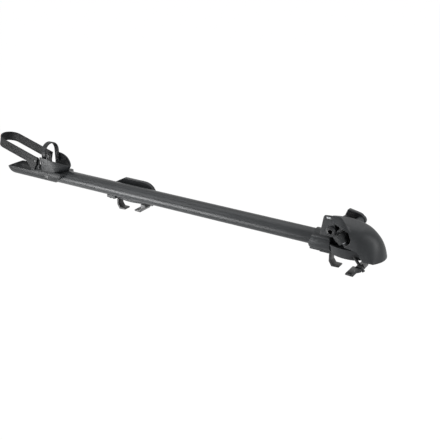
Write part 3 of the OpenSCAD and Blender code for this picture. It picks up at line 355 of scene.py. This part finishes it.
def carve(piece, cutters, operation="DIFFERENCE"):
    """Cuts pieces out of a piece, or joins them to it, and removes them."""
    for cutter in cutters:
        step = piece.modifiers.new("cut", "BOOLEAN")
        step.operation = operation
        step.solver = "EXACT"
        step.object = cutter
    plain(piece)
    for cutter in cutters:
        mesh = cutter.data
        bpy.data.objects.remove(cutter)
        bpy.data.meshes.remove(mesh)


# Geometry Nodes: one tree for fasteners set in place, one for rows of ribs, one for fields of grip dots

def new_tree(name, sockets):
    """A Geometry Nodes tree with places going in, its sizes by name, and pieces coming out."""
    tree = bpy.data.node_groups.new(name, "GeometryNodeTree")
    tree.interface.new_socket("Places", in_out="INPUT", socket_type="NodeSocketGeometry")
    for label, kind in sockets:
        tree.interface.new_socket(label, in_out="INPUT", socket_type=kind)
    tree.interface.new_socket("Pieces", in_out="OUTPUT", socket_type="NodeSocketGeometry")
    return tree, add(tree, "NodeGroupInput").outputs


def end_tree(tree, given, instances):
    """Ends a tree in Realize Instances and Set Material."""
    real = add(tree, "GeometryNodeRealizeInstances", None, {"Geometry": instances})
    dressed = add(tree, "GeometryNodeSetMaterial", None, {"Geometry": real.outputs[0], "Material": given["Finish"]})
    add(tree, "NodeGroupOutput", None, {"Pieces": dressed.outputs[0]})


fastener_tree, given = new_tree("fasteners_in_place", [
    ("Fastener", "NodeSocketObject"), ("Turn", "NodeSocketVector"), ("Finish", "NodeSocketMaterial")])
shape = add(fastener_tree, "GeometryNodeObjectInfo", {"transform_space": "ORIGINAL"}, {"Object": given["Fastener"]})
set_out = add(fastener_tree, "GeometryNodeInstanceOnPoints", None,
              {"Points": given["Places"], "Instance": shape.outputs["Geometry"], "Rotation": given["Turn"]})
end_tree(fastener_tree, given, set_out.outputs[0])

rib_tree, given = new_tree("rows_of_ribs", [
    ("Rib width", "NodeSocketFloat"), ("Rib height", "NodeSocketFloat"), ("Finish", "NodeSocketMaterial")])
bar = add(rib_tree, "GeometryNodeMeshCylinder", {"fill_type": "NGON"},
          {"Vertices": 10, "Radius": 0.5, "Depth": 1.0})
lying = add(rib_tree, "GeometryNodeTransform", None,
            {"Geometry": bar.outputs["Mesh"], "Rotation": (math.radians(90), 0.0, 0.0)})
reach = add(rib_tree, "GeometryNodeInputNamedAttribute", {"data_type": "FLOAT"}, {"Name": "reach"})
turn = add(rib_tree, "GeometryNodeInputNamedAttribute", {"data_type": "FLOAT_VECTOR"}, {"Name": "turn"})
size = add(rib_tree, "ShaderNodeCombineXYZ", None,
           {"X": given["Rib width"], "Y": reach.outputs[0], "Z": given["Rib height"]})
rows = add(rib_tree, "GeometryNodeInstanceOnPoints", None,
           {"Points": given["Places"], "Instance": lying.outputs[0], "Rotation": turn.outputs[0],
            "Scale": size.outputs[0]})
end_tree(rib_tree, given, rows.outputs[0])

dot_tree, given = new_tree("fields_of_grip_dots", [
    ("Dot radius", "NodeSocketFloat"), ("Dot height", "NodeSocketFloat"), ("Finish", "NodeSocketMaterial")])
ball = add(dot_tree, "GeometryNodeMeshUVSphere", None, {"Segments": 10, "Rings": 6, "Radius": 1.0})
dot_size = add(dot_tree, "ShaderNodeCombineXYZ", None,
               {"X": given["Dot radius"], "Y": given["Dot height"], "Z": given["Dot radius"]})
dots = add(dot_tree, "GeometryNodeInstanceOnPoints", None,
           {"Points": given["Places"], "Instance": ball.outputs["Mesh"], "Scale": dot_size.outputs[0]})
end_tree(dot_tree, given, dots.outputs[0])


def grown(name, tree, places, values, fields=None):
    """What a tree makes over a set of places, as a plain mesh. Fields are values for each place."""
    seed = bpy.data.meshes.new(name)
    seed.from_pydata([tuple(p) for p in places], [], [])
    for label, rows in (fields or {}).items():
        kind = "FLOAT_VECTOR" if isinstance(rows[0], (tuple, list, Vector)) else "FLOAT"
        field = seed.attributes.new(label, kind, "POINT")
        key = "vector" if kind == "FLOAT_VECTOR" else "value"
        field.data.foreach_set(key, np.array(rows, dtype=np.float32).ravel())
    piece = bpy.data.objects.new(name, seed)
    scene.collection.objects.link(piece)
    maker = piece.modifiers.new("maker", "NODES")
    maker.node_group = tree
    for item in tree.interface.items_tree:
        if item.in_out == "INPUT" and item.name in values:
            maker[item.identifier] = values[item.name]
    plain(piece)
    return piece


def joined(piece, others):
    """Joins the meshes of other pieces into one piece."""
    build = bmesh.new()
    build.from_mesh(piece.data)
    for other in others:
        build.from_mesh(other.data)
        mesh = other.data
        bpy.data.objects.remove(other)
        bpy.data.meshes.remove(mesh)
    build.to_mesh(piece.data)
    build.free()


# Head cover: the CAD skin's own formula, drawn much finer

HALF, WALL, BACK_X = 44.0, 3.0, -58.0
NOSE_START, NOSE_TIP, NOSE_ROUND = 40.0, 104.0, 16.0
CREST_X, CREST_Z, CREST_FALL, RIM_Z = -12.0, 95.0, 6.5, 13.0
EAR_LIFT, EAR_FRONT, EAR_FALL = 49.0, -8.0, 36.0
EAR_FOOT, EAR_DRAW, EAR_SPAN = 0.2, 0.03, 0.45
EAR_CORNER_X, EAR_CORNER_Z, EAR_CORNER_R = -43, 108, 9
AXLE_X, AXLE_Z, LEVER_X = -28.0, 77.0, 8.0
CUT_REACH, SCREW_Z, SCREW_HOLE_R = 88, 48, 2.55
BOLT_X, BOLT_Y, TILT, KNOB_S = 41.0, -25.0, math.radians(40), 87.0
KNOB_X, KNOB_Z = BOLT_X - KNOB_S * math.sin(TILT), KNOB_S * math.cos(TILT)
RECESS_X, RECESS_Z, RECESS_R = KNOB_X + 19, KNOB_Z - 3, 20.0


def step(u):
    """A soft step from 0 to 1."""
    c = min(1.0, max(0.0, u))
    return c * c * (3 - 2 * c)


def arc(cx, cz, radius, start_deg, end_deg, steps):
    """Points of an arc in X and Z."""
    angles = [math.radians(start_deg + (end_deg - start_deg) * i / steps) for i in range(steps + 1)]
    return [(cx + radius * math.cos(a), cz + radius * math.sin(a)) for a in angles]


def crest(x):
    """Height of the cover's crest."""
    return CREST_Z - CREST_FALL * ((x - CREST_X) / (NOSE_START - CREST_X)) ** 2


def cover_rows(inset, top_steps=36, nose_steps=44):
    """The crest's place and height, and the place of the rim beside it, from the back to the nose."""
    lead = np.array([NOSE_START, crest(NOSE_START) - inset])
    pulls = [lead, lead + [30 - inset / 2, -2.5], np.array([NOSE_TIP - 6 - inset, RIM_Z + 53 - inset / 2]),
             np.array([NOSE_TIP - inset, RIM_Z])]
    rows = []
    for i in range(top_steps):
        x = BACK_X + (NOSE_START - BACK_X) * i / top_steps
        rows.append((x, crest(x) - inset, x))
    for i in range(nose_steps + 1):
        t = i / nose_steps
        weights = ((1 - t) ** 3, 3 * t * (1 - t) ** 2, 3 * t * t * (1 - t), t ** 3)
        x, z = sum(w * p for w, p in zip(weights, pulls))
        rows.append((x, z, NOSE_START + (NOSE_TIP - NOSE_ROUND - inset - NOSE_START) * t))
    return rows


def cover_point(row, v, inset):
    """One point of a row, at v from -1 at the near rim to 1 at the far rim."""
    x, z, rim_x = row
    power = 2 / (5 - 2.8 * step((x - 10) / (NOSE_TIP - 30)))
    out = math.sin(math.radians(90 * abs(v))) ** power
    up = max(0.0, math.cos(math.radians(90 * abs(v)))) ** power if abs(v) < 1 else 0.0
    rise = step((abs(v) - EAR_FOOT - EAR_DRAW * inset) / EAR_SPAN)
    ear = EAR_LIFT * rise * (1 - step((x - EAR_FRONT) / EAR_FALL)) if v < 0 else 0.0
    along = rim_x + (x - rim_x) * (1 - out * out)
    aside = math.copysign((HALF - inset) * out, v)
    height = RIM_Z + (z + ear - RIM_Z) * up
    return along * MM, aside * MM, height * MM


def cover_shell(name):
    """The cover's outer and inner skins, closed along their rims."""
    across = [1 - (1 - i / 26) ** 1.7 for i in range(27)]
    stations = [-v for v in reversed(across[1:])] + across
    skins = [[[cover_point(row, v, inset) for v in stations] for row in cover_rows(inset)] for inset in (0.0, WALL)]
    n, m = len(skins[0]), len(stations)
    inside = n * m
    faces = []
    for base in (0, inside):
        faces += [(base + i * m + j, base + i * m + j + 1, base + (i + 1) * m + j + 1, base + (i + 1) * m + j)
                  for i in range(n - 1) for j in range(m - 1)]
    edge = [i * m for i in range(n)] + [(n - 1) * m + j for j in range(1, m)]
    edge += [i * m + m - 1 for i in range(n - 2, -1, -1)] + list(range(m - 2, 0, -1))
    faces += [(a, b, b + inside, a + inside) for a, b in zip(edge, edge[1:] + edge[:1])]
    return piece_of(name, [p for skin_rows in skins for row in skin_rows for p in row], faces)


cover = cover_shell("head_shell")
skirt = [(BACK_X - 20, 0), (60, 0), (60, 14), (52, 22), (45, 35)]
skirt += [(RECESS_X + 5, 41), (RECESS_X + 5, 62), (BACK_X, 62)]
skirt += arc(EAR_CORNER_X, EAR_CORNER_Z, EAR_CORNER_R, 170, 90, 12) + [(EAR_CORNER_X, 190), (BACK_X - 20, 190)]
scoop = [(AXLE_X + 7, 98), (RECESS_X + 12, RECESS_Z + 18), (RECESS_X + 19, RECESS_Z + 4)]
scoop += arc(RECESS_X, RECESS_Z, RECESS_R, 0, -85, 16) + [(AXLE_X + 11, 40), (AXLE_X + 11, AXLE_Z)]
along = Vector((-math.sin(TILT), 0, math.cos(TILT)))
bolt_foot = Vector((BOLT_X, BOLT_Y, 0))
carve(cover, [
    prism("skirt_cut", skirt, -CUT_REACH, CUT_REACH),
    prism("scoop_cut", scoop, -CUT_REACH, -38),
    rod("knob_cut", bolt_foot + along * (KNOB_S - 27), bolt_foot + along * (KNOB_S + 2), 18.8),
    rod("near_seat_cut", (AXLE_X, -CUT_REACH, AXLE_Z), (AXLE_X, 0, AXLE_Z), 13.05),
    rod("far_seat_cut", (AXLE_X, 0, AXLE_Z), (AXLE_X, CUT_REACH, AXLE_Z), 11.4),
    rod("lever_boss_cut", (LEVER_X, 0, AXLE_Z), (LEVER_X, CUT_REACH, AXLE_Z), 11.5),
    rod("screw_cut", (10, 0, SCREW_Z), (10, CUT_REACH, SCREW_Z), SCREW_HOLE_R, 24),
    rod("other_screw_cut", (22, 0, SCREW_Z), (22, CUT_REACH, SCREW_Z), SCREW_HOLE_R, 24),
    prism("mark_cut", [(-43, 108), (-32, 108), (-32, 112.5), (-43, 112.5)], -CUT_REACH, -41),
])
round_edges(cover, 0.9, 2, 38.0)
plain(cover)
set_piece(cover, ["head_cover"], 34.0)


# Pieces that follow the CAD shapes, with their edges rounded

ROUNDED = [
    ("main_tube", "tube_extrusion", 0.6), ("head_base", "head_casting", 0.8), ("lock_lever", "lever_arm", 2.0),
    ("near_dropout_seat", "near_seat_ring", 0.8), ("far_dropout_seat", "far_seat_ring", 0.6),
    ("axle_sleeve", "axle_bush", 0.5), ("front_knob", "front_grip_knob", 0.7), ("rear_knob", "rear_grip_knob", 0.7),
    ("front_saddle", "saddle_block", 1.5), ("front_claw", "front_hook", 1.0), ("rear_claw", "rear_hook", 1.0),
    ("front_fixed_claw", "front_back_hook", 1.0), ("rear_fixed_claw", "rear_back_hook", 1.0),
    ("rear_carriage", "rear_slider", 1.0), ("rear_cover", "rear_shell", 2.0),
    ("wheel_tray", "tray_body", 1.0), ("tyre_hoop", "hoop_band", 1.0),
    ("tray_lock_screw", "slotted_lock_screw", 0.5), ("tube_end_plug", "tube_end_cap", 0.8),
    ("indicator_mark", "ear_inlay", 0.15),
]
for node, name, radius in ROUNDED:
    softened(node, name, radius)


# Wheel cradle: a thin boat with flared sides, whose plan narrows to a bow at every height

TRAY_X, BOW_LEN, CRADLE_LOW, CRADLE_TOP, CRADLE_FLOOR = -1016.0, 83.0, 50.0, 95.0, 57.3
CRADLE_BACK, CRADLE_WALL, TUBE_Z, TUBE_CLEAR_R = TRAY_X - 11.0, 3.0, 32.0, 22.3
FOOT_HALF, RIM_HALF, BOW_LEAN, BOW_LEAN_H, SOFTNESS = 31, 40, 14, 21, 2.5
PIN_HOLE_Z, PIN_HOLE_R = 77, 3.05


def boat_ring(z, inset, stern):
    """The boat's plan at one height, drawn in by inset, as a ring of places."""
    flare = FOOT_HALF + (RIM_HALF - FOOT_HALF) * (z - CRADLE_LOW) / (CRADLE_TOP - CRADLE_LOW) - inset
    bow = TRAY_X + BOW_LEN - inset - BOW_LEAN * max(0.0, 1 - (z - CRADLE_LOW) / BOW_LEAN_H)
    shares = [math.sin(math.pi / 2 * i / 30) for i in range(31)]
    flank = []
    for u in shares:
        arch = (RIM_HALF - inset) * max(0.0, 1 - u * u) ** 0.85
        soft = -SOFTNESS * math.log(math.exp(-arch / SOFTNESS) + math.exp(-flare / SOFTNESS))
        flank.append((TRAY_X + (bow - TRAY_X) * u, max(0.0, soft) if u < 1 else 0.0))
    half = flank[0][1]
    ring = [(stern, -half)] + [(x, -y) for x, y in flank] + [(x, y) for x, y in flank[-2::-1]] + [(stern, half)]
    return [(x * MM, y * MM, z * MM) for x, y in ring]


def bend(points, steps):
    """Places along a curve with four guides."""
    places = []
    for i in range(steps + 1):
        u = i / steps
        weights = ((1 - u) ** 3, 3 * u * (1 - u) ** 2, 3 * u * u * (1 - u), u ** 3)
        places.append(tuple(sum(w * p[k] for w, p in zip(weights, points)) for k in (0, 1)))
    return places


hull_rows = np.linspace(CRADLE_LOW, CRADLE_TOP, 22)
hollow_rows = np.linspace(CRADLE_FLOOR, CRADLE_TOP + 4, 22)
cradle = skin_between("cradle_hull", [boat_ring(z, 0.0, CRADLE_BACK) for z in hull_rows])
over_rim = bend([(CRADLE_BACK - 2, 94.9), (TRAY_X + 22, 94.9), (TRAY_X + 46, 86), (TRAY_X + BOW_LEN + 2, 70)], 24)
over_rim += [(TRAY_X + BOW_LEN + 2, 110), (CRADLE_BACK - 2, 110)]
carve(cradle, [
    skin_between("hollow", [boat_ring(z, CRADLE_WALL, CRADLE_BACK - 3) for z in hollow_rows]),
    prism("over_rim", over_rim, -60, 60),
    rod("tube_room", (CRADLE_BACK - 3, 0, TUBE_Z), (TRAY_X + BOW_LEN + 3, 0, TUBE_Z), TUBE_CLEAR_R),
    rod("pin_room", (TRAY_X, -60, PIN_HOLE_Z), (TRAY_X, 60, PIN_HOLE_Z), PIN_HOLE_R, 32),
])
round_edges(cradle, 0.7, 2, 38.0)
plain(cradle)
set_piece(cradle, ["wheel_cradle"], 36.0)


# Fasteners: cap screws with a six-sided socket, set where the CAD screws are

def cap_screw(head_r, head_h, shank_r, shank_l, socket_r, sides=24):
    """A cap screw along Z in millimetres, with its head over z = 0 and its shank below."""
    def ring(radius, z):
        angles = [2 * math.pi * i / sides for i in range(sides)]
        return [(radius * math.cos(a) * MM, radius * math.sin(a) * MM, z * MM) for a in angles]

    def hexagon(z):
        points = []
        for i in range(sides):
            a = 2 * math.pi * i / sides
            flat = (a % (math.pi / 3)) - math.pi / 6
            radius = socket_r * math.cos(math.pi / 6) / math.cos(flat)
            points.append((radius * math.cos(a) * MM, radius * math.sin(a) * MM, z * MM))
        return points
    rim = min(0.5, head_h * 0.3)
    rings = [ring(shank_r - 0.4, -shank_l), ring(shank_r, 0.4 - shank_l), ring(shank_r, 0.0), ring(head_r, 0.0),
             ring(head_r, head_h - rim), ring(head_r - rim * 0.4, head_h - rim * 0.3), ring(head_r - rim, head_h),
             hexagon(head_h), hexagon(head_h * 0.35)]
    return skin_between("cap_screw", rings)


SCREWS = [
    # node, piece, axis that the head looks along, head radius, head height, shank radius
    ("socket_screws", "socket_cap_screws", (0, 0, -1), 5.0, 3.0, 2.5),
    ("cover_screws", "cover_cap_screws", (0, 1, 0), 5.0, 3.0, 2.5),
    ("lever_screw", "lever_cap_screw", (0, 1, 0), 7.0, 3.0, 2.5),
    ("saddle_screws", "saddle_cap_screws", (0, 0, -1), 5.0, 3.0, 2.5),
    ("front_claw_screws", "front_claw_cap_screws", (0, 0, -1), 5.0, 3.0, 2.5),
    ("rear_claw_screws", "rear_claw_cap_screws", (0, 0, -1), 5.0, 3.0, 2.5),
    ("rear_cover_screws", "rear_cover_cap_screws", (0, 1, 0), 5.0, 3.0, 2.5),
    ("rear_slide_screws", "rear_slide_cap_screws", (0, 0, -1), 5.0, 3.0, 2.5),
    ("cradle_screws", "cradle_cap_screws", (0, 0, 1), 3.5, 2.0, 2.5),
]
for node, name, axis, head_r, head_h, shank_r in SCREWS:
    boxes = islands(node)
    k = [abs(a) for a in axis].index(1)
    low, high = boxes[0]
    shank_l = (high[k] - low[k]) / MM - head_h
    template = cap_screw(head_r, head_h, shank_r, shank_l, head_r * 0.5)
    places = []
    for low, high in boxes:
        place = (low + high) / 2
        place[k] = high[k] - head_h * MM if axis[k] > 0 else low[k] + head_h * MM
        places.append(place)
    turn = tuple(Vector(axis).to_track_quat("Z", "Y").to_euler())
    screws = grown(name, fastener_tree, places,
                   {"Fastener": template, "Turn": turn, "Finish": FINISH[slot_of[node]]})
    mesh = template.data
    bpy.data.objects.remove(template)
    bpy.data.meshes.remove(mesh)
    set_piece(screws, [node], 30.0)


# Wheel strap: a moulded rubber band with a bead along each edge, cross ribs, and a fin at its near end

PIN_X, PIN_Z, LEAN = -1050.0, 78.0, math.radians(15)
BAND_HALF, BAND_T, BAND_W, BAND_LEN, BAND_NOSE = 36.5, 4.0, 30.0, 175.0, 7.0
lean = Matrix.Translation((PIN_X, 0, PIN_Z)) @ Matrix.Rotation(LEAN, 4, "Y")


def leaned(x, y, z):
    """A point of the strap's own frame, in millimetres, as a place in metres."""
    return (lean @ Vector((x, y, z))) * MM


def band_path(bends=36, runs=24):
    """Places along the middle of the band with the direction that its outer face looks in."""
    middle = BAND_HALF - BAND_T / 2
    turn_x = -(BAND_LEN - BAND_HALF)
    path = [(BAND_NOSE + (turn_x - BAND_NOSE) * i / runs, -middle, 0.0, -1.0) for i in range(runs)]
    for i in range(bends + 1):
        a = -math.pi / 2 - math.pi * i / bends
        path.append((turn_x + middle * math.cos(a), middle * math.sin(a), math.cos(a), math.sin(a)))
    path += [(turn_x + (BAND_NOSE - turn_x) * i / runs, middle, 0.0, 1.0) for i in range(1, runs + 1)]
    return path


half_t, half_w = BAND_T / 2, BAND_W / 2
side = [(half_t - 0.8, -half_w), (half_t - 0.2, -half_w + 0.3), (half_t, -half_w + 0.9), (half_t, -half_w + 3.2),
        (half_t - 0.15, -half_w + 3.7), (half_t - 0.6, -half_w + 4.2)]
section = side + [(n, -z) for n, z in reversed(side)]
section += [(-n, -z) for n, z in section]
path = band_path()
band_rings = [[leaned(x + nx * n, y + ny * n, z) for n, z in section] for x, y, nx, ny in path]
strap = skin_between("strap_band", band_rings)
FIN_DROP, FIN_LEN = 20.0, 58.0
fin = [(BAND_NOSE, 0), (BAND_NOSE - 6, -half_w - FIN_DROP + 4), (BAND_NOSE - 8.5, -half_w - FIN_DROP),
       (-5, -half_w - FIN_DROP + 1.5), (-FIN_LEN * 0.55, -half_w - 2), (-FIN_LEN, 0)]
fin_rings = [[leaned(x, y, z) for x, z in fin] for y in (-BAND_HALF, -BAND_HALF + BAND_T)]
carve(strap, [skin_between("fin", fin_rings)], "UNION")
carve(strap, [rod("pin_hole", (PIN_X, -60, PIN_Z), (PIN_X, 60, PIN_Z), PIN_HOLE_R, 32)])
ribs, reach, turns = [], [], []
RIB_PITCH, RIB_COUNT = 5.0, 14
for sign in (-1, 1):
    for i in range(RIB_COUNT):
        x = -FIN_LEN - RIB_PITCH * (i + 1)
        ribs.append(leaned(x, sign * (BAND_HALF - 0.6), 0.0))
        reach.append((BAND_W - 9.0) * MM)
        turns.append((math.radians(90), LEAN, 0.0))
strap_ribs = grown("strap_ribs", rib_tree, ribs,
                   {"Rib width": 1.8 * MM, "Rib height": 1.2 * MM, "Finish": rubber}, {"reach": reach, "turn": turns})
joined(strap, [strap_ribs])
set_piece(strap, ["wheel_strap"], 40.0)


# Rubber pads on the crossbars: a slab with ribs across its underside

def ribbed_pad(node, name, edges, rib_pitch=4.0, rib_h=0.9):
    """A pad whose slab keeps its CAD outline over a row of round ribs.

    Edges gives the pad's two sides in Y at a place in X.
    """
    low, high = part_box(node)
    slab = merged_copy(node, name)
    for vert in slab.data.vertices:
        if vert.co.z < low[2] + 1e-5:
            vert.co.z = low[2] + rib_h * MM
    round_edges(slab, 0.4, 2)
    plain(slab)
    places, reach = [], []
    count = int((high[0] - low[0]) / MM / rib_pitch) - 1
    first = (low[0] + high[0]) / 2 - (count - 1) / 2 * rib_pitch * MM
    for i in range(count):
        x = first + i * rib_pitch * MM
        near, far = edges(x / MM)
        places.append((x, (near + far) / 2 * MM, low[2] + rib_h * MM))
        reach.append((far - near - 2.0) * MM)
    ribs = grown(name + "_ribs", rib_tree, places,
                 {"Rib width": 2.4 * MM, "Rib height": 2 * rib_h * MM, "Finish": rubber},
                 {"reach": reach, "turn": [(0.0, 0.0, 0.0)] * count})
    joined(slab, [ribs])
    set_piece(slab, [node])


def front_edges(x):
    """Sides of the front pad's lens."""
    reach = math.sqrt((27.5 + 50 - 2) ** 2 - (x - 5) ** 2) - 50
    return -reach, reach


def rear_edges(x):
    """Sides of the rear pad, from its lens to its straight far edge."""
    return 146 - math.sqrt(148 ** 2 - (x + 718 - 18) ** 2), 24.0


ribbed_pad("front_pad", "front_rubber_pad", front_edges)
ribbed_pad("rear_pad", "rear_rubber_pad", rear_edges)


# Lever grip: a rubber insert with a field of small round dots on both faces

grip = merged_copy("lever_grip", "grip_insert")
round_edges(grip, 0.8, 3)
plain(grip)
low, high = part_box("lever_grip")
dots = []
DOT_PITCH, LEVER_RISE = 2.6, 5.0 / 31.0
for i in range(7):
    for j in range(6):
        x = low[0] / MM + 2.6 + DOT_PITCH * i + (0.5 * DOT_PITCH if j % 2 else 0)
        z = high[2] / MM - 2.6 - (j + 0.2) * 0.87 * DOT_PITCH - LEVER_RISE * (x - low[0] / MM)
        if x < high[0] / MM - 1.4:
            dots += [(x * MM, y, z * MM) for y in (low[1] + 0.1 * MM, high[1] - 0.1 * MM)]
grip_dots = grown("grip_dots", dot_tree, dots, {"Dot radius": 0.85 * MM, "Dot height": 0.6 * MM, "Finish": rubber})
joined(grip, [grip_dots])
set_piece(grip, ["lever_grip"])
